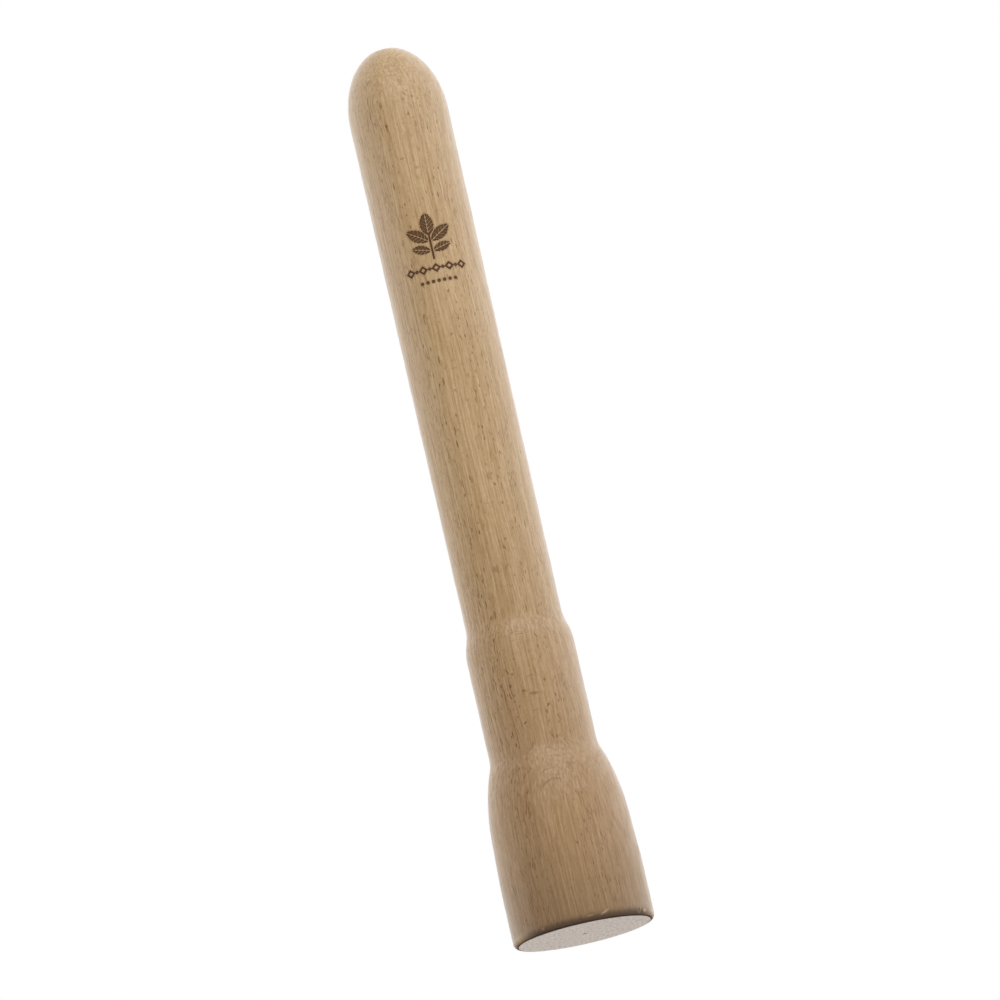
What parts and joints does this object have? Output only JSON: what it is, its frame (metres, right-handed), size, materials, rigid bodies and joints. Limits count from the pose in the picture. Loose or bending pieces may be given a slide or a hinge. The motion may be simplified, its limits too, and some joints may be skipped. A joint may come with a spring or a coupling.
{
  "type": "muddler",
  "caption": "One-piece turned beech muddler: long round handle with a domed end, a small ledge and a flared head with a flat muddling face.",
  "frame": {"origin": "centre of the flat muddling face, on which the muddler stands", "axes": "+Z along the axis of turning, from the muddling face to the domed handle end; -Y is the side with the burnt mark"},
  "size_m": [0.05, 0.05, 0.32],
  "materials": {
    "beech": "plain sanded beech with a thin dry oil, faint sheen"
  },
  "bodies": {
    "root": {"muddler_body": "beech"}
  },
  "joints": []
}
